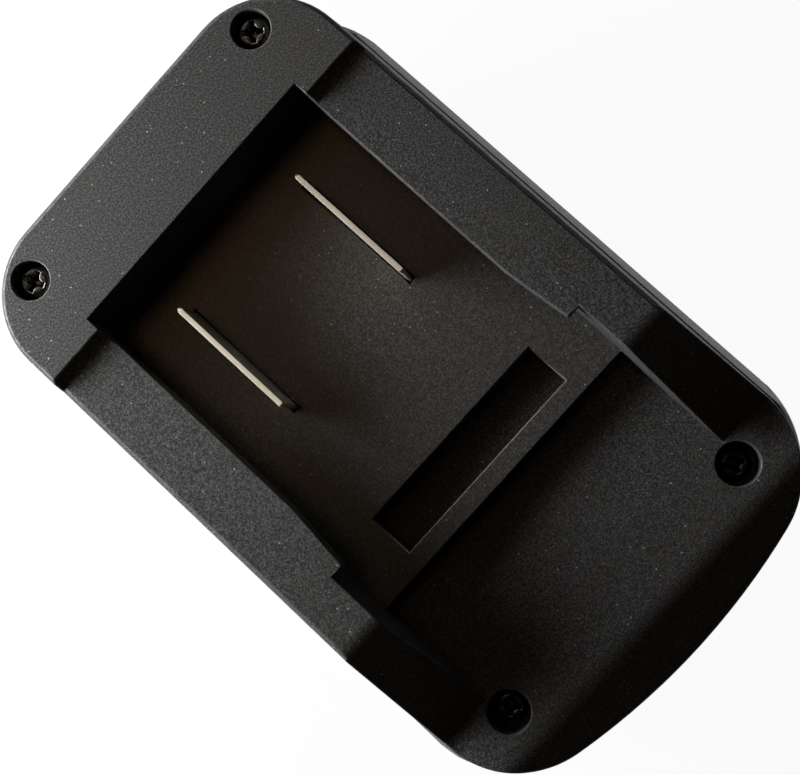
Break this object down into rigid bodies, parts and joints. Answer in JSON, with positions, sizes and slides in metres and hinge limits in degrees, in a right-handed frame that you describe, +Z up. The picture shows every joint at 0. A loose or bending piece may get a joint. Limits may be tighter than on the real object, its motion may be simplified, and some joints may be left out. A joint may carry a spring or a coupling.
{
  "type": "tool battery adapter",
  "caption": "Black slide-on battery adapter: pocket with lipped rails, contact blades and latch slot on top, rail head with sprung contacts and a thumb latch below.",
  "frame": {"origin": "on the plane of the rail head's face, under the middle of the housing", "axes": "+Z up out of the battery pocket, +Y towards the rear cap, the way the pack and the adapter slide in, +X to the positive blade"},
  "size_m": [0.076, 0.1184, 0.0554],
  "materials": {
    "cover_plastic": "fine spark-eroded texture",
    "housing_plastic": "fine spark-eroded texture",
    "black_steel": "black oxide",
    "plated_blade": "nickel plated",
    "inner_plastic": "as moulded",
    "zinc_steel": "zinc plated",
    "clip_metal": "sheet brass",
    "red_insulation": "wire insulation",
    "black_insulation": "wire insulation",
    "latch_plastic": "satin",
    "spring_steel": "drawn wire"
  },
  "bodies": {
    "adapter": {"battery_cover": "cover_plastic", "tool_housing": "housing_plastic", "rear_case_screws": "black_steel", "front_case_screws": "black_steel", "blade_positive": "plated_blade", "blade_negative": "plated_blade", "blade_retainer": "inner_plastic", "retainer_screws": "zinc_steel", "contact_block": "inner_plastic", "contact_block_screws": "zinc_steel", "contact_clip_positive": "clip_metal", "contact_clip_negative": "clip_metal", "lead_positive": "red_insulation", "lead_negative": "black_insulation", "latch_spring_left": "spring_steel", "latch_spring_right": "spring_steel"},
    "latch": {"latch_slider": "latch_plastic"}
  },
  "joints": [
    {"name": "latch_slide", "type": "slide", "parent": "adapter", "child": "latch", "axis": [0, 0, 1], "range_m": [0, 0.005], "stiffness_N_per_m": 1500, "springref_m": -0.004, "deforming": ["latch_spring_left", "latch_spring_right"]}
  ]
}
